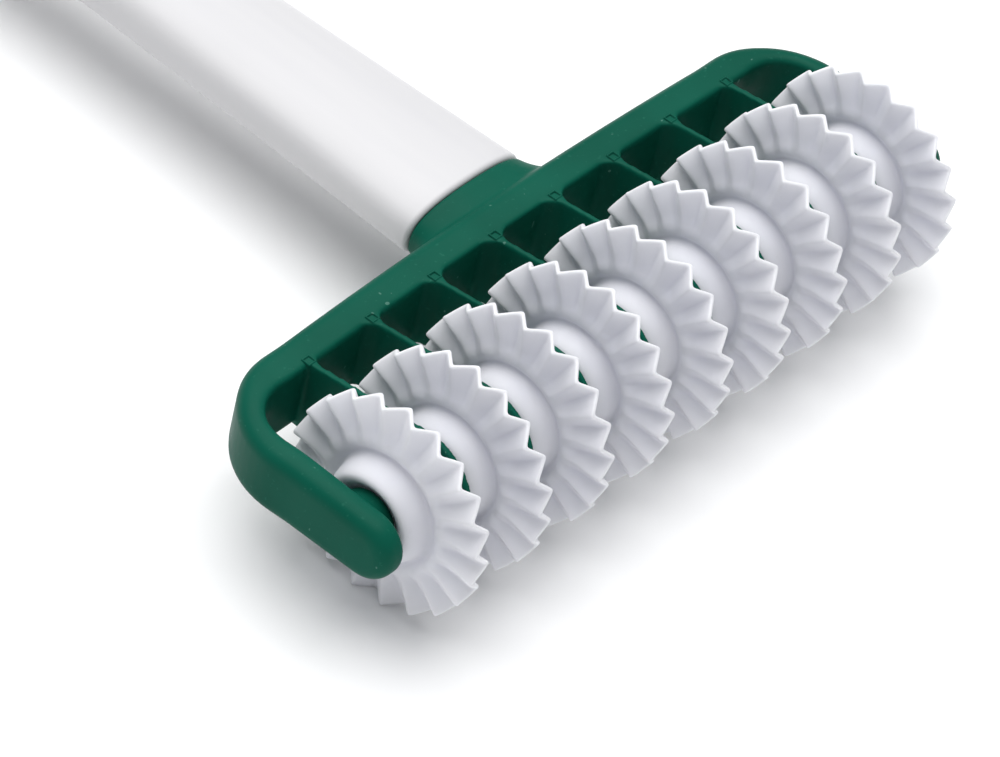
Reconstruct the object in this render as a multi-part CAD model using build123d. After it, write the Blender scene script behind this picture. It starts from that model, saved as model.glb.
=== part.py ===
from build123d import *
import math
import os

# Foot massage roller: nine pleated wheels run free on one steel rod, which a comb-shaped
# head carries between two arms. An oval handle plugs on to the back of the head.
# Everything is drawn about the middle of the rod, with the rod along X and the handle
# towards +Y, and is moved at the end so that the wheels stand on Z = 0.

# wheels
WHEEL_COUNT = 9
WHEEL_PITCH = 20.0
WHEEL_R = 25.0
PLEATS = 20
PLEAT_RISE = 2.05
PLEAT_SKIN = 0.85
PLEAT_ROOT_R = 13.6
WEB_HALF = 1.5
HUB_SEAT_HALF = 5.2
HUB_SEAT_R = 7.2
HUB_CREST_HALF = 7.4
HUB_CREST_R = 9.8
HUB_SHOULDER = 1.0
HUB_OUTER_R = 11.7
GROOVE_R = 12.3
GROOVE_BOTTOM_R = 12.9
GROOVE_RISE = 1.1
WHEEL_TURNS = (15.1, 17.2, 5.8, 6.3, 0.5, 7.3, 1.5, 10.9, 0.3)

# rod
ROD_R = 2.5
WHEEL_BORE_CLEARANCE = 0.08
FRAME_BORE_CLEARANCE = 0.03
ROD_END_X = 91.8

# head
HEAD_HALF_WIDTH = 95.8
ARM_INNER_X = 89.5
SPINE_BACK_Y = 42.4
SPINE_FRONT_Y = 33.4
SPINE_BACK_SWEEP = 3.4
SPINE_FRONT_SWEEP = 2.0
SPINE_HALF_HEIGHT = 8.7
HEAD_RISE = 0.6
ARM_END_Y = -5.0
ARM_END_R = 7.7
OUTER_CORNER_R = 27.0
INNER_CORNER_R = 12.0
OUTER_ROUND = 3.4
INNER_ROUND = 1.3
RIB_THICKNESS = 1.4
RIB_DISC_R = 13.2
RIB_BACK_HALF_HEIGHT = 8.7
CELL_CORNER_R = 4.0
SPACER_R = 5.6
ARM_BOSS_R = 6.8
RUNNING_GAP = 0.35
SPACER_REACH = WHEEL_PITCH / 2 - HUB_SEAT_HALF - RUNNING_GAP
END_RIB_X = (WHEEL_COUNT / 2 - 1) * WHEEL_PITCH
CORE_WIDTH = 15.0
CORE_DEPTH = 4.8
CORE_ROOF_Z = 5.6

# collar, handle and end cap
HANDLE_SECTIONS = ((48.8, 18.9, 7.8), (105.0, 16.4, 8.1), (165.0, 14.5, 8.2), (214.0, 15.4, 8.4))
OVAL_SQUARENESS = 2.6
OVAL_POINTS = 32
HANDLE_WALL = 2.4
PLUG_FIT = 0.3
COLLAR_SECTIONS = ((39.5, 28.0, 7.2), (43.9, 20.6, 7.5), (48.5, 18.5, 7.45))
TANG_LENGTH = 30.0
CAP_LENGTH = 19.0
CAP_ROUND = 4.5
CAP_PLUG_LENGTH = 11.0
HANG_HOLE_R = 4.0
HANG_HOLE_FROM_END = 9.5

OVERALL_LENGTH = WHEEL_R + HANDLE_SECTIONS[-1][0] + CAP_LENGTH
ROD_CENTRE = (0, WHEEL_R - OVERALL_LENGTH / 2, WHEEL_R)


def cylinder_x(radius, x0, x1):
    """A cylinder about the rod's axis between two places along it."""
    return Pos((x0 + x1) / 2, 0, 0) * Rot(0, 90, 0) * Cylinder(radius, x1 - x0)


def oval(y, half_x, half_z):
    """A squarish oval section across the handle at y."""
    points = []
    for step in range(OVAL_POINTS):
        angle = 2 * math.pi * step / OVAL_POINTS
        x = math.copysign(abs(math.cos(angle)) ** (2 / OVAL_SQUARENESS), math.cos(angle))
        z = math.copysign(abs(math.sin(angle)) ** (2 / OVAL_SQUARENESS), math.sin(angle))
        points.append((half_x * x, y, HEAD_RISE + half_z * z))
    return make_face(Spline(points, periodic=True))


def side_plate(profile, x0, x1):
    """A profile in the side view (Y, Z), made solid between two places along X."""
    plane = Plane(origin=(x0, 0, 0), x_dir=(0, 1, 0), z_dir=(1, 0, 0))
    return extrude(plane * profile, amount=x1 - x0)


def tapered_bar(end_y, end_r, back_y, back_half_height):
    """Side view of a bar that runs tangent from a round end to a taller straight back."""
    distance = math.hypot(back_y - end_y, back_half_height)
    lean = math.asin(end_r / distance) - math.atan2(back_half_height, back_y - end_y)
    touch_y = end_y + end_r * math.sin(lean)
    touch_z = end_r * math.cos(lean)
    outline = Polyline(
        (touch_y, touch_z), (back_y, back_half_height), (back_y, -back_half_height), (touch_y, -touch_z)
    )
    outline += ThreePointArc((touch_y, -touch_z), (end_y - end_r, 0), (touch_y, touch_z))
    return make_face(outline)


def swept_plan(half_width, front_y, back_y, sweep, corner_r):
    """The bow's outline in plan: straight sides, and a back that bows forward at both ends."""
    side_back_y = back_y - sweep
    outline = Polyline(
        (-half_width, side_back_y), (-half_width, front_y), (half_width, front_y), (half_width, side_back_y)
    )
    outline += ThreePointArc((half_width, side_back_y), (0, back_y), (-half_width, side_back_y))
    shape = make_face(outline)
    corners = [v for v in shape.vertices() if v.Y > 0]
    return fillet(corners, corner_r)


def upright_borders(solid, is_wall):
    """The edges round the upright walls that is_wall picks by the middle of each face."""
    edges = ShapeList()
    for face in solid.faces():
        middle = face.position_at(0.5, 0.5)
        if abs(face.normal_at(middle).Z) < 0.001 and is_wall(middle):
            edges += face.edges()
    return ShapeList(e for e in edges if sum(e.is_same(other) for other in edges) == 1)


def frame_bow():
    """The spine and both arms, with every long edge rounded."""
    front_y = ARM_END_Y - ARM_END_R - 1
    outer = swept_plan(HEAD_HALF_WIDTH, front_y, SPINE_BACK_Y, SPINE_BACK_SWEEP, OUTER_CORNER_R)
    inner = swept_plan(ARM_INNER_X, front_y, SPINE_FRONT_Y, SPINE_FRONT_SWEEP, INNER_CORNER_R)
    slab = extrude(outer, amount=SPINE_HALF_HEIGHT + 1, both=True)
    bar = tapered_bar(ARM_END_Y, ARM_END_R, SPINE_BACK_Y + 1, SPINE_HALF_HEIGHT)
    slab = slab & side_plate(bar, -HEAD_HALF_WIDTH - 1, HEAD_HALF_WIDTH + 1)
    slab = fillet(upright_borders(slab, lambda middle: middle.Y > ARM_END_Y), OUTER_ROUND)
    bow = slab - extrude(inner, amount=SPINE_HALF_HEIGHT + 1, both=True)
    inside = upright_borders(
        bow, lambda middle: abs(middle.X) < ARM_INNER_X + 0.01 and middle.Y < SPINE_FRONT_Y + 0.01
    )
    return Pos(0, 0, HEAD_RISE) * fillet(inside, INNER_ROUND)


def back_rounded_rectangle(half_width, front_y, back_y, corner_r):
    """A rectangle in plan, with its two back corners rounded."""
    shape = Pos(0, (front_y + back_y) / 2) * Rectangle(2 * half_width, back_y - front_y)
    return fillet(shape.vertices().group_by(Axis.Y)[-1], corner_r)


def rib_comb():
    """The ribs between the wheels, flared where they leave the spine, each with a round end."""
    back_y = SPINE_FRONT_Y + 2
    front_y = -RIB_DISC_R - 1
    inner_x = ARM_INNER_X - INNER_CORNER_R
    comb = Pos(0, (front_y + back_y) / 2) * Rectangle(2 * inner_x, back_y - front_y)
    opening = back_rounded_rectangle(
        (WHEEL_PITCH - RIB_THICKNESS) / 2, front_y - 1, SPINE_FRONT_Y, CELL_CORNER_R
    )
    end_strip = Rectangle(inner_x - END_RIB_X, 2 * (back_y - front_y))
    for cell in range(1, WHEEL_COUNT - 1):
        comb -= Pos(wheel_place(cell), 0) * opening
    for side in (-1, 1):
        comb -= Pos(side * (END_RIB_X + inner_x) / 2 + side * RIB_THICKNESS / 2, 0) * end_strip
    solid = extrude(comb, amount=RIB_DISC_R + 1, both=True)
    profile = tapered_bar(0, RIB_DISC_R, back_y, RIB_BACK_HALF_HEIGHT)
    return solid & side_plate(profile, -HEAD_HALF_WIDTH, HEAD_HALF_WIDTH)


def wheel_place(number):
    """The middle of one cell between ribs, along the rod."""
    return (number - (WHEEL_COUNT - 1) / 2) * WHEEL_PITCH


def spacers():
    """Round bosses on the ribs and the arms, which keep the wheels in their places."""
    bosses = []
    for rib in range(WHEEL_COUNT - 1):
        x = wheel_place(rib) + WHEEL_PITCH / 2
        bosses.append(cylinder_x(SPACER_R, x - SPACER_REACH, x + SPACER_REACH))
    end_x = WHEEL_COUNT / 2 * WHEEL_PITCH - SPACER_REACH
    bosses.append(cylinder_x(ARM_BOSS_R, end_x, ARM_INNER_X + 1))
    bosses.append(cylinder_x(ARM_BOSS_R, -ARM_INNER_X - 1, -end_x))
    return bosses


def underside_cores():
    """Recesses that keep the spine's walls even, open underneath, clear of the collar."""
    cores = []
    height = CORE_ROOF_Z + SPINE_HALF_HEIGHT + 1
    sweep = (SPINE_FRONT_SWEEP + SPINE_BACK_SWEEP) / 2
    for cell in range(WHEEL_COUNT):
        x = wheel_place(cell)
        if COLLAR_SECTIONS[0][1] + CORE_WIDTH / 2 < abs(x) < HEAD_HALF_WIDTH - OUTER_CORNER_R:
            recess = Rectangle(CORE_WIDTH, CORE_DEPTH)
            recess = fillet(recess.vertices(), CORE_DEPTH / 3)
            y = (SPINE_FRONT_Y + SPINE_BACK_Y) / 2 - sweep * (x / HEAD_HALF_WIDTH) ** 2
            cores.append(Pos(x, y, CORE_ROOF_Z - height) * extrude(recess, amount=height))
    return cores


def head_frame():
    """The green moulding: bow, ribs, spacers, collar and the tang that holds the handle."""
    frame = frame_bow() + rib_comb() + spacers()
    frame += loft([oval(*section) for section in COLLAR_SECTIONS])
    start_y, half_x, half_z = HANDLE_SECTIONS[0]
    inset = HANDLE_WALL + PLUG_FIT
    tang_end = TANG_LENGTH + start_y
    narrow_x, narrow_z = handle_size(tang_end)
    frame += loft([
        oval(SPINE_BACK_Y, half_x - inset, half_z - inset),
        oval(start_y, half_x - inset, half_z - inset),
        oval(tang_end, narrow_x - inset, narrow_z - inset),
    ], ruled=True)
    frame -= underside_cores()
    bore_r = ROD_R + FRAME_BORE_CLEARANCE
    frame -= cylinder_x(bore_r, -ROD_END_X, HEAD_HALF_WIDTH + 1)
    return frame


def handle_size(y):
    """Half width and half height of the handle at y, between its named sections."""
    for (y0, x0, z0), (y1, x1, z1) in zip(HANDLE_SECTIONS, HANDLE_SECTIONS[1:]):
        if y0 <= y <= y1:
            part = (y - y0) / (y1 - y0)
            return x0 + part * (x1 - x0), z0 + part * (z1 - z0)


def handle():
    """The white grip, an oval tube, narrower in the middle, with a softened mouth."""
    outer = loft([oval(*section) for section in HANDLE_SECTIONS])
    inner = loft([oval(y, x - HANDLE_WALL, z - HANDLE_WALL) for y, x, z in HANDLE_SECTIONS])
    mouth = outer.edges().group_by(Axis.Y)[0]
    return fillet(mouth, HANDLE_WALL / 3) - inner


def end_cap():
    """The green cap that closes the handle, with a hole to hang the roller by."""
    end_y, half_x, half_z = HANDLE_SECTIONS[-1]
    body = extrude(oval(end_y, half_x, half_z), amount=CAP_LENGTH, dir=(0, 1, 0))
    body = fillet(body.edges().group_by(Axis.Y)[-1], CAP_ROUND)
    inset = HANDLE_WALL + PLUG_FIT
    plug_y = end_y - CAP_PLUG_LENGTH
    plug_x, plug_z = handle_size(plug_y)
    body += loft([
        oval(plug_y, plug_x - inset, plug_z - inset),
        oval(end_y + 1, half_x - inset, half_z - inset),
    ], ruled=True)
    hole_y = end_y + CAP_LENGTH - HANG_HOLE_FROM_END
    return body - Pos(0, hole_y, HEAD_RISE) * Cylinder(HANG_HOLE_R, 4 * half_z)


def rod():
    """The steel rod, blind in the left arm and slid in through the right one."""
    bar = cylinder_x(ROD_R, RUNNING_GAP / 2 - ROD_END_X, ROD_END_X)
    return chamfer(bar.edges(), ROD_R / 8)


def rod_plug():
    """The green plug that closes the right arm's hole behind the rod."""
    return cylinder_x(ROD_R, ROD_END_X, HEAD_HALF_WIDTH)


def pleat_groove():
    """A wedge that sinks one pleat into a wheel's left face, deeper towards the rim."""
    rim_depth = 2 * PLEAT_RISE
    rim_floor = PLEAT_RISE - PLEAT_SKIN
    half_angle = rim_depth / (WHEEL_R * math.tan(math.pi / PLEATS))
    floor_slope = (rim_floor + WEB_HALF) / (WHEEL_R - PLEAT_ROOT_R)
    open_side = -HUB_CREST_HALF
    sections = []
    for height in (PLEAT_ROOT_R, 1.1 * WHEEL_R):
        floor = floor_slope * (height - PLEAT_ROOT_R) - WEB_HALF
        spread = (floor - open_side) / half_angle
        outline = Polygon((floor, 0), (open_side, spread), (open_side, -spread), align=None)
        sections.append(Plane.XY.offset(height) * outline)
    return loft(sections, ruled=True)


def wheel_blank():
    """A wheel before its pleats: hub, smooth groove and a rim that thickens outwards."""
    bore = ROD_R + WHEEL_BORE_CLEARANCE
    rim_half = PLEAT_RISE + PLEAT_SKIN
    shoulder = HUB_CREST_HALF - HUB_SHOULDER
    inner_shoulder_r = 2 * HUB_CREST_R - HUB_OUTER_R
    groove_x = WEB_HALF + GROOVE_RISE
    right = Polyline(
        (0, bore), (HUB_SEAT_HALF, bore), (HUB_SEAT_HALF, HUB_SEAT_R), (shoulder, inner_shoulder_r)
    )
    right += ThreePointArc(
        (shoulder, inner_shoulder_r), (HUB_CREST_HALF, HUB_CREST_R), (shoulder, HUB_OUTER_R)
    )
    right += Line((shoulder, HUB_OUTER_R), (groove_x, GROOVE_R))
    right += ThreePointArc(
        (groove_x, GROOVE_R), (WEB_HALF + GROOVE_RISE / 4, GROOVE_BOTTOM_R), (WEB_HALF, PLEAT_ROOT_R)
    )
    right += Polyline((WEB_HALF, PLEAT_ROOT_R), (rim_half, WHEEL_R), (0, WHEEL_R), (0, bore))
    half = revolve(make_face(right), Axis.X)
    return half + mirror(half, about=Plane.YZ)


def wheel():
    """A white wheel with a fan of pleats, those of one face between those of the other."""
    groove = pleat_groove()
    pleat_angle = 360 / PLEATS
    cutters = [Rot(turn * pleat_angle, 0, 0) * groove for turn in range(PLEATS)]
    across = Rot(pleat_angle / 2, 0, 0) * mirror(groove, about=Plane.YZ)
    cutters += [Rot(turn * pleat_angle, 0, 0) * across for turn in range(PLEATS)]
    return wheel_blank() - cutters


def write(solid, name):
    """Put a piece where it belongs in the row and write it."""
    placed = Pos(*ROD_CENTRE) * solid
    placed.label = name
    export_step(placed, f"parts/{name}.step")


os.makedirs("parts", exist_ok=True)
write(head_frame(), "head_frame")
write(rod(), "wheel_rod")
write(rod_plug(), "rod_plug")
write(handle(), "handle")
write(end_cap(), "end_cap")
one_wheel = wheel()
for number, turn in enumerate(WHEEL_TURNS):
    place = Pos(wheel_place(number), 0, 0) * Rot(turn, 0, 0)
    write(place * one_wheel, f"wheel_{number + 1}")
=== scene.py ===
import math

import bmesh
import bpy
from mathutils import Matrix, Vector


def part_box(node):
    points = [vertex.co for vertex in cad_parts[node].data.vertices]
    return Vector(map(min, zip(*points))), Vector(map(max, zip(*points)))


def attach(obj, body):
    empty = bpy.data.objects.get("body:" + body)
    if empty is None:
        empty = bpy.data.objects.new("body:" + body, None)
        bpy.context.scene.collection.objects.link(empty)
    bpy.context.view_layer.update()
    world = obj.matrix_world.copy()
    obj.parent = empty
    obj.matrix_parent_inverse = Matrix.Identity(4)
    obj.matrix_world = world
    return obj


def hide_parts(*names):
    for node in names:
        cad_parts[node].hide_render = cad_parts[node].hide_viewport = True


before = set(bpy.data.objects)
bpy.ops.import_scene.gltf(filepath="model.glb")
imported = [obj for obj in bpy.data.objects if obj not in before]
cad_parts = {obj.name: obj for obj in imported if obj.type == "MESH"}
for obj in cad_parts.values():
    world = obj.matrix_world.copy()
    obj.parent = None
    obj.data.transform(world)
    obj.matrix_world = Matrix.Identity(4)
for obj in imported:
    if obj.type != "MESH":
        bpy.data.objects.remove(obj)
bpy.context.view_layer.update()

# Foot massage roller: a green comb-shaped moulding carries nine pleated white wheels on a
# steel rod, and a white oval handle plugs on to its collar. Metres, in the row frame.

MM = 0.001

# wheels; lengths here and below are in mm
WHEELS = 9
WHEEL_PITCH = 20.0
PLEATS = 20
WHEEL_R = 25.0
PLEAT_RISE = 2.05
PLEAT_ROOT_R = 13.6
RIM_HALF = 0.66
ROOT_HALF = 1.5
# extra thickness rolled round the inner ends of the pleats
ROOT_ROLL = 0.75
ROOT_ROLL_R = 15.3
ROOT_ROLL_WIDTH = 1.5
PLEAT_END_R = 14.3
CREST_SOFT = 0.15
WHEEL_TURNS = (15.1, 17.2, 5.8, 6.3, 0.5, 7.3, 1.5, 10.9, 0.3)
STEPS_PER_PLEAT = 16
EDGE_DEPTH = 0.55
EDGE_FLAT = 0.08
EDGE_STEPS = 5
SKIN_STEPS = 9
STEP_CROWDING = 0.11
RISE_RAMP = 5
# (radius, half thickness) of a wheel's smooth middle, from the pleats in to the bore
HUB_PROFILE = (
    (13.9, 1.72), (13.5, 1.42), (13.1, 1.22), (12.7, 1.20), (12.35, 1.45), (12.05, 1.95),
    (11.85, 2.7), (11.7, 3.6), (11.5, 4.6), (11.2, 5.5), (10.8, 6.35), (10.35, 7.0),
    (9.8, 7.32), (9.2, 7.28), (8.6, 6.98), (8.15, 6.6), (7.8, 6.15), (7.55, 5.75),
    (7.25, 5.45), (6.9, 5.27), (6.4, 5.2), (4.5, 5.2), (3.0, 5.2), (2.75, 5.12),
    (2.62, 4.95), (2.58, 4.7), (2.58, 2.0),
)

# handle: (y, half width, half height) at each section, seen from the rod
HANDLE_SECTIONS = ((48.8, 18.9, 7.8), (105.0, 16.4, 8.1), (165.0, 14.5, 8.2), (214.0, 15.4, 8.4))
OVAL_SQUARENESS = 2.6
OVAL_POINTS = 128
HANDLE_WALL = 2.4
INSIDE_RINGS = 12
MOUTH_STEPS = 9
OUTSIDE_RINGS = 48

# green head, measured from the rod
HEAD_RISE = 0.6
HEAD_TOP = 8.7
HEAD_HALF = 95.8
HEAD_BACK = 39.2
# the outer corners: as the CAD bends them, and as they are drawn here
CORNER_R = 27.0
FULL_CORNER_R = 21.0
CORNER_START = 0.72
BACK_LIFT = 0.5
BACK_LIFT_FROM = 33
BACK_LIFT_BLEND = 6
# voxel of the softened head, in metres
HEAD_VOXEL = 0.00045
HEAD_SMOOTHINGS = 4
HEAD_SMOOTH_FACTOR = 0.5
PIN_Y = 32.9
PIN_SWEEP = 0.3
# (half width, height) of a pin mark's ring, from its outer foot over to its inner one
PIN_PROFILE = ((1.20, -0.08), (1.08, 0.05), (0.92, 0.05), (0.80, -0.08))

# degrees between faces above which an edge is drawn sharp
SHARP_ANGLE_WHEEL = 40
SHARP_ANGLE_HANDLE = 50
SHARP_ANGLE_PIN = 30

# camera: degrees, metres, and the lens in mm
VIEW_AZIMUTH = -149.48
VIEW_ELEVATION = 43.0
VIEW_ROLL = 14.31
VIEW_DISTANCE = 1.1021
LENS = 187.3
AIM_RIGHT = -0.025
AIM_UP = -0.017
SENSOR_WIDTH = 36
CLIP_NEAR = 0.05
CLIP_FAR = 20

# studio, in metres
FLOOR_HALF = 6.0
SURROUND_COLOUR = (0.95, 0.97, 1.0, 1)
SURROUND_STRENGTH = 0.38
OVERHEAD_PLACE = (0.15, 0.28, 1.5)
OVERHEAD_AIM = (0, -0.05, 0)
OVERHEAD_SIZE = 2.2
OVERHEAD_POWER = 37.5


def rod_centre():
    """The middle of the rod, from the rod's own box."""
    low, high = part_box("wheel_rod")
    return Vector((0, (low.y + high.y) / 2, (low.z + high.z) / 2))


def new_object(name, bm, smooth_angle=None):
    """Turn a bmesh into an object with smooth shading."""
    bmesh.ops.recalc_face_normals(bm, faces=bm.faces)
    mesh = bpy.data.meshes.new(name)
    bm.to_mesh(mesh)
    bm.free()
    mesh.shade_smooth()
    if smooth_angle:
        mesh.set_sharp_from_angle(angle=math.radians(smooth_angle))
    obj = bpy.data.objects.new(name, mesh)
    bpy.context.scene.collection.objects.link(obj)
    return obj


def grid_skin(bm, rows, wrap=False):
    """Faces between rows of vertices that each close into a ring."""
    pairs = list(zip(rows, rows[1:]))
    if wrap:
        pairs.append((rows[-1], rows[0]))
    for row, after in pairs:
        count = len(row)
        for i in range(count):
            j = (i + 1) % count
            bm.faces.new((row[i], row[j], after[j], after[i]))


# ---------------------------------------------------------------- wheels


def pleat_wave(phase):
    """Zigzag from 1 to -1 and back over one pleat, with soft crests and creases."""
    away = abs((phase + 0.5) % 1.0 - 0.5) * 2
    if away < CREST_SOFT:
        away = (away * away + CREST_SOFT * CREST_SOFT) / (2 * CREST_SOFT)
    elif away > 1 - CREST_SOFT:
        back = 1 - away
        away = 1 - (back * back + CREST_SOFT * CREST_SOFT) / (2 * CREST_SOFT)
    return 1 - 2 * away


def pleat_steps():
    """Places round one pleat, closer together at the crest and the crease."""
    half = STEPS_PER_PLEAT // 2
    steps = []
    for start in (0.0, 0.5):
        for i in range(half):
            even = i / half
            steps.append(start + 0.5 * (even - STEP_CROWDING * math.sin(2 * math.pi * even)))
    return steps


def wheel_profile():
    """(radius, half thickness, share of the pleats' rise) for one face, rim to bore."""
    rows = []
    for i in range(EDGE_STEPS + 1):
        t = math.pi / 2 * i / EDGE_STEPS
        r = WHEEL_R - EDGE_DEPTH * (1 - math.cos(t))
        rows.append((r, RIM_HALF * (EDGE_FLAT + (1 - EDGE_FLAT) * math.sin(t))))
    edge_r = WHEEL_R - EDGE_DEPTH
    for i in range(1, SKIN_STEPS + 1):
        r = edge_r - (edge_r - PLEAT_END_R) * i / SKIN_STEPS
        part = (r - PLEAT_ROOT_R) / (WHEEL_R - PLEAT_ROOT_R)
        roll = ROOT_ROLL * math.exp(-((r - ROOT_ROLL_R) / ROOT_ROLL_WIDTH) ** 2)
        rows.append((r, ROOT_HALF + (RIM_HALF - ROOT_HALF) * part + roll))
    rows += HUB_PROFILE
    shaped = []
    for r, half in rows:
        part = max(0.0, (r - PLEAT_ROOT_R) / (WHEEL_R - PLEAT_ROOT_R))
        rise = part * min(1.0, part * RISE_RAMP)
        shaped.append((r, half, rise))
    return shaped


def wheel_mesh(number, centre):
    """One wheel, turned to its own angle, as a closed skin over both faces and the bore."""
    bm = bmesh.new()
    turn = math.radians(WHEEL_TURNS[number])
    x_mid = (number - (WHEELS - 1) / 2) * WHEEL_PITCH
    steps = pleat_steps()
    profile = wheel_profile()
    rows = [(r, -half, rise) for r, half, rise in reversed(profile)]
    rows += [(r, half, rise) for r, half, rise in profile]
    rings = []
    for r, side, rise in rows:
        ring = []
        for pleat in range(PLEATS):
            for step in steps:
                angle = turn + (pleat + step) * 2 * math.pi / PLEATS
                x = x_mid + side + PLEAT_RISE * rise * pleat_wave(step)
                place = Vector((x, -r * math.sin(angle), r * math.cos(angle)))
                ring.append(bm.verts.new(centre + place * MM))
        rings.append(ring)
    grid_skin(bm, rings, wrap=True)
    return new_object(f"wheel_{number + 1}_moulding", bm, SHARP_ANGLE_WHEEL)


# ---------------------------------------------------------------- handle


def oval_ring(bm, centre, y, half_x, half_z):
    """A ring of vertices on a squarish oval."""
    ring = []
    for i in range(OVAL_POINTS):
        t = 2 * math.pi * i / OVAL_POINTS
        x = math.copysign(abs(math.cos(t)) ** (2 / OVAL_SQUARENESS), math.cos(t))
        z = math.copysign(abs(math.sin(t)) ** (2 / OVAL_SQUARENESS), math.sin(t))
        ring.append(bm.verts.new(centre + Vector((half_x * x, y, HEAD_RISE + half_z * z)) * MM))
    return ring


def handle_size(y):
    """Half width and half height of the grip at y, on a smooth curve through its sections."""
    spots = HANDLE_SECTIONS
    for k in range(len(spots) - 1):
        a, b = spots[k], spots[k + 1]
        if a[0] <= y <= b[0]:
            before = spots[max(k - 1, 0)]
            after = spots[min(k + 2, len(spots) - 1)]
            t = (y - a[0]) / (b[0] - a[0])
            out = []
            for axis in (1, 2):
                slope_a = (b[axis] - before[axis]) / (b[0] - before[0]) * (b[0] - a[0])
                slope_b = (after[axis] - a[axis]) / (after[0] - a[0]) * (b[0] - a[0])
                value = (2 * t ** 3 - 3 * t ** 2 + 1) * a[axis]
                value += (t ** 3 - 2 * t ** 2 + t) * slope_a
                value += (3 * t ** 2 - 2 * t ** 3) * b[axis]
                value += (t ** 3 - t ** 2) * slope_b
                out.append(value)
            return out


def handle_mesh(centre):
    """The grip: an oval tube with a rolled mouth."""
    bm = bmesh.new()
    y0, y1 = HANDLE_SECTIONS[0][0], HANDLE_SECTIONS[-1][0]
    lip = HANDLE_WALL / 2
    rings = []
    # inside, from the far end to the mouth
    for i in range(INSIDE_RINGS + 1):
        y = y1 - (y1 - y0 - lip) * i / INSIDE_RINGS
        half_x, half_z = handle_size(y)
        rings.append(oval_ring(bm, centre, y, half_x - HANDLE_WALL, half_z - HANDLE_WALL))
    # rolled mouth
    half_x, half_z = handle_size(y0 + lip)
    for i in range(1, MOUTH_STEPS):
        t = math.pi * i / MOUTH_STEPS
        inset = lip + lip * math.cos(t)
        y = y0 + lip - lip * math.sin(t)
        rings.append(oval_ring(bm, centre, y, half_x - inset, half_z - inset))
    # outside, back to the far end
    for i in range(OUTSIDE_RINGS + 1):
        y = y0 + lip + (y1 - y0 - lip) * i / OUTSIDE_RINGS
        half_x, half_z = handle_size(y)
        rings.append(oval_ring(bm, centre, y, half_x, half_z))
    grid_skin(bm, rings, wrap=True)
    return new_object("handle_grip", bm, SHARP_ANGLE_HANDLE)


# ---------------------------------------------------------------- green moulding


def soft_step(t):
    """Smooth ramp from 0 to 1."""
    t = min(1.0, max(0.0, t))
    return t * t * (3 - 2 * t)


def corner_reach(angle):
    """Distance from the CAD corner's arc centre out to the fuller corner, at an angle from +X."""
    drop = CORNER_R - FULL_CORNER_R
    flat = CORNER_R / max(math.cos(angle), math.sin(angle))
    inner = FULL_CORNER_R ** 2 - drop ** 2 * (1 - math.sin(2 * angle))
    arc = drop * (math.cos(angle) + math.sin(angle)) + math.sqrt(inner)
    edge = math.atan2(drop, CORNER_R)
    return arc if edge < angle < math.pi / 2 - edge else flat


def fill_corners(mesh, centre):
    """Draw the two outer corners of the head out to their fuller, tighter bend."""
    for vertex in mesh.vertices:
        place = (vertex.co - centre) / MM
        side = math.copysign(1, place.x)
        lift = BACK_LIFT * (place.x / HEAD_HALF) ** 2
        lift *= soft_step((place.y - BACK_LIFT_FROM) / BACK_LIFT_BLEND)
        across = abs(place.x) - (HEAD_HALF - CORNER_R)
        along = place.y - (HEAD_BACK - CORNER_R)
        if across > 0 and along > 0:
            out = math.hypot(across, along)
            gain = corner_reach(math.atan2(along, across)) / CORNER_R - 1
            gain *= soft_step((out / CORNER_R - CORNER_START) / (1 - CORNER_START))
            place.x += side * across * gain
            place.y += along * gain
        place.y += lift
        vertex.co = centre + place * MM


def pin_marks(centre):
    """Small raised square rings where the ejector pins met the back end of each rib."""
    bm = bmesh.new()
    for k in range(WHEELS - 1):
        x = (k - (WHEELS - 2) / 2) * WHEEL_PITCH
        y = PIN_Y - PIN_SWEEP * (x / HEAD_HALF) ** 2
        rings = []
        for half, z in PIN_PROFILE:
            ring = []
            for sx, sy in ((-1, -1), (1, -1), (1, 1), (-1, 1)):
                place = Vector((x + sx * half, y + sy * half, HEAD_RISE + HEAD_TOP + z))
                ring.append(bm.verts.new(centre + place * MM))
            rings.append(ring)
        grid_skin(bm, rings, wrap=True)
    return new_object("pin_marks", bm, SHARP_ANGLE_PIN)


def moulded_copy(node, name):
    """A copy of a CAD node's shape, with the soft edges and corners of a real moulding."""
    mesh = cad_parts[node].data.copy()
    obj = bpy.data.objects.new(name, mesh)
    bpy.context.scene.collection.objects.link(obj)
    remesh = obj.modifiers.new("skin", "REMESH")
    remesh.mode = "VOXEL"
    remesh.voxel_size = HEAD_VOXEL
    remesh.use_smooth_shade = True
    soften = obj.modifiers.new("soften", "SMOOTH")
    soften.factor = HEAD_SMOOTH_FACTOR
    soften.iterations = HEAD_SMOOTHINGS
    bpy.context.view_layer.update()
    graph = bpy.context.evaluated_depsgraph_get()
    final = bpy.data.meshes.new_from_object(obj.evaluated_get(graph))
    obj.modifiers.clear()
    obj.data = final
    final.name = name
    final.materials.clear()
    final.shade_smooth()
    return obj


# ---------------------------------------------------------------- materials


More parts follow.
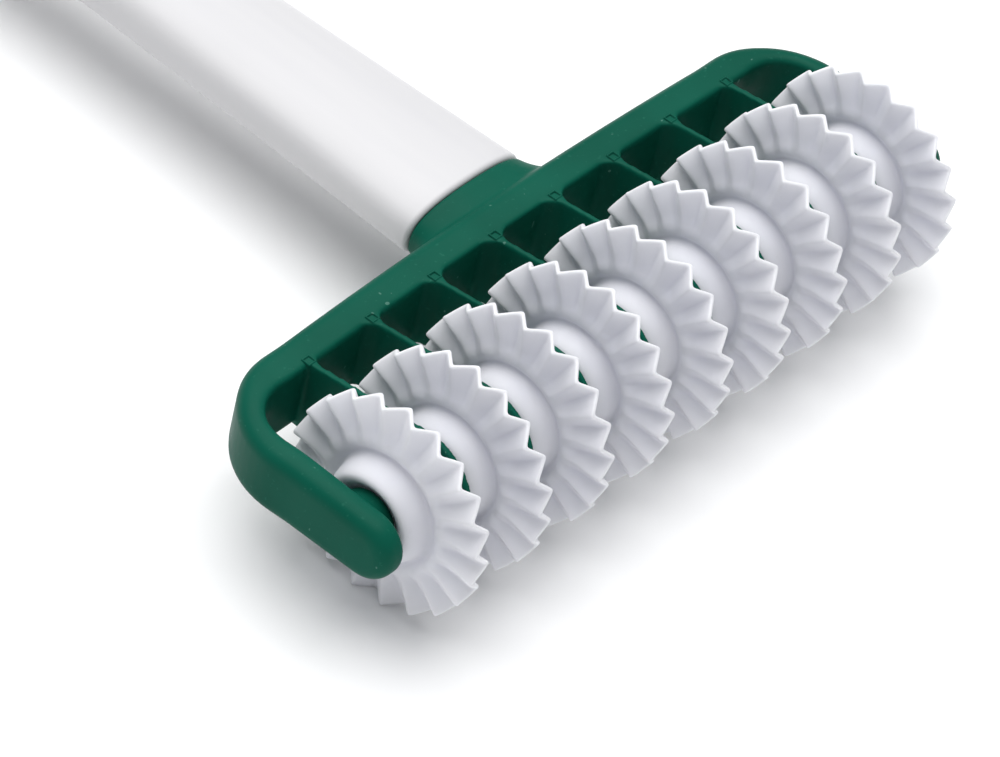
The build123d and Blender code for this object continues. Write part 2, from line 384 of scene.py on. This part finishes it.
class Nodes:
    """Small helper that adds nodes to a new material and links them."""

    def __init__(self, name):
        self.material = bpy.data.materials.new(name)
        self.material.use_nodes = True
        self.tree = self.material.node_tree
        self.shader = self.tree.nodes["Principled BSDF"]

    def add(self, kind, inputs=None, **settings):
        """A new node, with each input set to a value or linked to a socket."""
        node = self.tree.nodes.new(kind)
        for key, value in settings.items():
            setattr(node, key, value)
        for key, value in (inputs or {}).items():
            if isinstance(value, bpy.types.NodeSocket):
                self.tree.links.new(value, node.inputs[key])
            else:
                node.inputs[key].default_value = value
        return node

    def noise(self, scale, detail=3.0, roughness=0.5, stretch=(1, 1, 1)):
        """Noise that stays fixed to the object."""
        place = self.add("ShaderNodeTexCoord").outputs["Object"]
        if stretch != (1, 1, 1):
            place = self.add("ShaderNodeMapping", {"Vector": place, "Scale": stretch}).outputs[0]
        values = {"Vector": place, "Scale": scale, "Detail": detail, "Roughness": roughness}
        return self.add("ShaderNodeTexNoise", values).outputs["Fac"]

    def spread(self, value, low, high, to_low, to_high):
        """Map a value from one range on to another."""
        values = {"Value": value, "From Min": low, "From Max": high}
        values.update({"To Min": to_low, "To Max": to_high})
        return self.add("ShaderNodeMapRange", values).outputs["Result"]

    def blend(self, factor, one, other):
        """Mix two colours."""
        node = self.add("ShaderNodeMix", data_type="RGBA")
        for index, value in ((0, factor), (6, one), (7, other)):
            socket = node.inputs[index]
            if isinstance(value, bpy.types.NodeSocket):
                self.tree.links.new(value, socket)
            else:
                socket.default_value = value
        return node.outputs[2]

    def bump(self, height, distance, strength, under=None):
        """Bump from a height, on top of an earlier bump if there is one."""
        values = {"Height": height, "Distance": distance, "Strength": strength}
        if under is not None:
            values["Normal"] = under
        return self.add("ShaderNodeBump", values).outputs["Normal"]

    def finish(self, colour, roughness, normal, **uniform):
        """Link the three textures to the shader and set its uniform values."""
        links = self.tree.links
        links.new(colour, self.shader.inputs["Base Color"])
        links.new(roughness, self.shader.inputs["Roughness"])
        links.new(normal, self.shader.inputs["Normal"])
        for key, value in uniform.items():
            self.shader.inputs[key.replace("_", " ")].default_value = value
        return self.material


def green_plastic():
    """Dark green moulded polypropylene: faint flow tones, satin, with a few pale specks."""
    n = Nodes("green_moulding")
    broad = n.spread(n.noise(38, 2.0), 0.35, 0.65, 0.0, 1.0)
    colour = n.blend(broad, (0.0018, 0.071, 0.045, 1), (0.0030, 0.089, 0.057, 1))
    fine = n.spread(n.noise(900, 2.0), 0.66, 0.74, 0.0, 0.35)
    colour = n.blend(fine, colour, (0.022, 0.150, 0.100, 1))
    speck = n.spread(n.noise(520, 0.0), 0.845, 0.86, 0.0, 0.6)
    colour = n.blend(speck, colour, (0.10, 0.24, 0.19, 1))
    rough = n.spread(n.noise(160, 3.0), 0.3, 0.7, 0.36, 0.46)
    normal = n.bump(n.noise(150, 2.0), 0.0006, 0.10)
    normal = n.bump(n.noise(1500, 3.0), 0.0001, 0.12, normal)
    return n.finish(colour, rough, normal, Specular_IOR_Level=0.06)


def wheel_plastic():
    """White moulded plastic with a cool cast, fine surface grain and faint handling marks."""
    n = Nodes("wheel_white")
    broad = n.spread(n.noise(60, 2.0), 0.35, 0.65, 0.0, 1.0)
    colour = n.blend(broad, (0.735, 0.737, 0.785, 1), (0.765, 0.765, 0.805, 1))
    mark = n.spread(n.noise(330, 4.0, 0.6), 0.66, 0.76, 0.0, 0.25)
    colour = n.blend(mark, colour, (0.65, 0.65, 0.68, 1))
    rough = n.spread(n.noise(240, 3.0), 0.3, 0.7, 0.42, 0.54)
    normal = n.bump(n.noise(260, 2.0), 0.0004, 0.10)
    normal = n.bump(n.noise(1700, 3.0), 0.0001, 0.14, normal)
    return n.finish(
        colour, rough, normal,
        Specular_IOR_Level=0.3,
        Subsurface_Weight=0.75,
        Subsurface_Radius=(1.0, 1.0, 1.0),
        Subsurface_Scale=0.0030,
    )


def handle_plastic():
    """Off-white satin plastic with long faint streaks along the grip."""
    n = Nodes("handle_white")
    streak = n.spread(n.noise(120, 3.0, 0.5, (1, 0.08, 1)), 0.35, 0.65, 0.0, 1.0)
    colour = n.blend(streak, (0.595, 0.590, 0.602, 1), (0.618, 0.612, 0.620, 1))
    mark = n.spread(n.noise(400, 4.0, 0.6, (1, 0.5, 1)), 0.68, 0.76, 0.0, 0.2)
    colour = n.blend(mark, colour, (0.57, 0.57, 0.58, 1))
    rough = n.spread(n.noise(140, 3.0, 0.5, (1, 0.2, 1)), 0.3, 0.7, 0.34, 0.44)
    normal = n.bump(n.noise(70, 2.0, 0.5, (1, 0.25, 1)), 0.0008, 0.08)
    normal = n.bump(n.noise(1500, 3.0), 0.0001, 0.10, normal)
    return n.finish(colour, rough, normal, Specular_IOR_Level=0.30)


def steel():
    """Drawn steel rod: fine lines along it."""
    n = Nodes("rod_steel")
    lines = n.noise(900, 3.0, 0.6, (0.02, 1, 1))
    colour = n.blend(lines, (0.48, 0.48, 0.49, 1), (0.60, 0.60, 0.61, 1))
    rough = n.spread(lines, 0.3, 0.7, 0.22, 0.36)
    normal = n.bump(lines, 0.0001, 0.15)
    return n.finish(colour, rough, normal, Metallic=1.0)


def floor_material():
    """Plain pale matt floor."""
    n = Nodes("pale_floor")
    tone = n.spread(n.noise(6, 2.0), 0.3, 0.7, 0.0, 1.0)
    colour = n.blend(tone, (0.93, 0.93, 0.93, 1), (0.94, 0.94, 0.94, 1))
    rough = n.spread(n.noise(40, 2.0), 0.3, 0.7, 0.75, 0.85)
    normal = n.bump(n.noise(300, 2.0), 0.0002, 0.02)
    return n.finish(colour, rough, normal, Specular_IOR_Level=0.1)


def dress(obj, material, body):
    """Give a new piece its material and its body."""
    obj.data.materials.clear()
    obj.data.materials.append(material)
    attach(obj, body)


def dress_node(node, material):
    """Give a CAD node that stays a better material."""
    for material_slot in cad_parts[node].material_slots:
        material_slot.material = material


# ---------------------------------------------------------------- studio


def look_from(centre):
    """The camera, from the viewing angle, roll and distance."""
    az, el, roll = (math.radians(v) for v in (VIEW_AZIMUTH, VIEW_ELEVATION, VIEW_ROLL))
    back = Vector((math.cos(el) * math.cos(az), math.cos(el) * math.sin(az), math.sin(el)))
    right = (-back).cross(Vector((0, 0, 1))).normalized()
    up = right.cross(-back)
    place = centre + back * VIEW_DISTANCE + right * AIM_RIGHT + up * AIM_UP
    rolled_right = right * math.cos(roll) + up * math.sin(roll)
    rolled_up = up * math.cos(roll) - right * math.sin(roll)
    data = bpy.data.cameras.new("view")
    data.lens = LENS
    data.sensor_width = SENSOR_WIDTH
    data.clip_start = CLIP_NEAR
    data.clip_end = CLIP_FAR
    camera = bpy.data.objects.new("view", data)
    bpy.context.scene.collection.objects.link(camera)
    turned = Matrix((rolled_right, rolled_up, back)).transposed().to_4x4()
    camera.matrix_world = Matrix.Translation(place) @ turned
    bpy.context.scene.camera = camera


def area_light(name, place, aim, size, power):
    """A soft round light that points at a spot."""
    data = bpy.data.lights.new(name, "AREA")
    data.shape = "DISK"
    data.size = size
    data.energy = power
    light = bpy.data.objects.new(name, data)
    bpy.context.scene.collection.objects.link(light)
    light.location = place
    light.rotation_euler = (Vector(aim) - Vector(place)).to_track_quat("-Z", "Y").to_euler()


def studio():
    """Pale floor, soft overhead light and an even pale surround."""
    bm = bmesh.new()
    signs = ((-1, -1), (1, -1), (1, 1), (-1, 1))
    bm.faces.new([bm.verts.new((x * FLOOR_HALF, y * FLOOR_HALF, 0)) for x, y in signs])
    floor = new_object("floor", bm)
    floor.data.materials.append(floor_material())
    world = bpy.data.worlds.new("surround")
    world.use_nodes = True
    sky = world.node_tree.nodes["Background"]
    sky.inputs["Color"].default_value = SURROUND_COLOUR
    sky.inputs["Strength"].default_value = SURROUND_STRENGTH
    bpy.context.scene.world = world
    area_light("overhead", OVERHEAD_PLACE, OVERHEAD_AIM, OVERHEAD_SIZE, OVERHEAD_POWER)
    bpy.context.scene.view_settings.view_transform = "Standard"


def build():
    """The camera, the studio and every piece of the roller."""
    centre = rod_centre()
    look_from(centre)
    studio()
    green, white, grip, metal = green_plastic(), wheel_plastic(), handle_plastic(), steel()
    for number in range(WHEELS):
        wheel = wheel_mesh(number, centre)
        dress(wheel, white, f"turning_wheel_{number + 1}")
        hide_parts(f"wheel_{number + 1}")
    handle = handle_mesh(centre)
    dress(handle, grip, "roller")
    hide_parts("handle")
    head = moulded_copy("head_frame", "head_moulding")
    fill_corners(head.data, centre)
    dress(head, green, "roller")
    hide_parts("head_frame")
    dress(pin_marks(centre), green, "roller")
    dress_node("end_cap", green)
    dress_node("rod_plug", green)
    dress_node("wheel_rod", metal)


build()
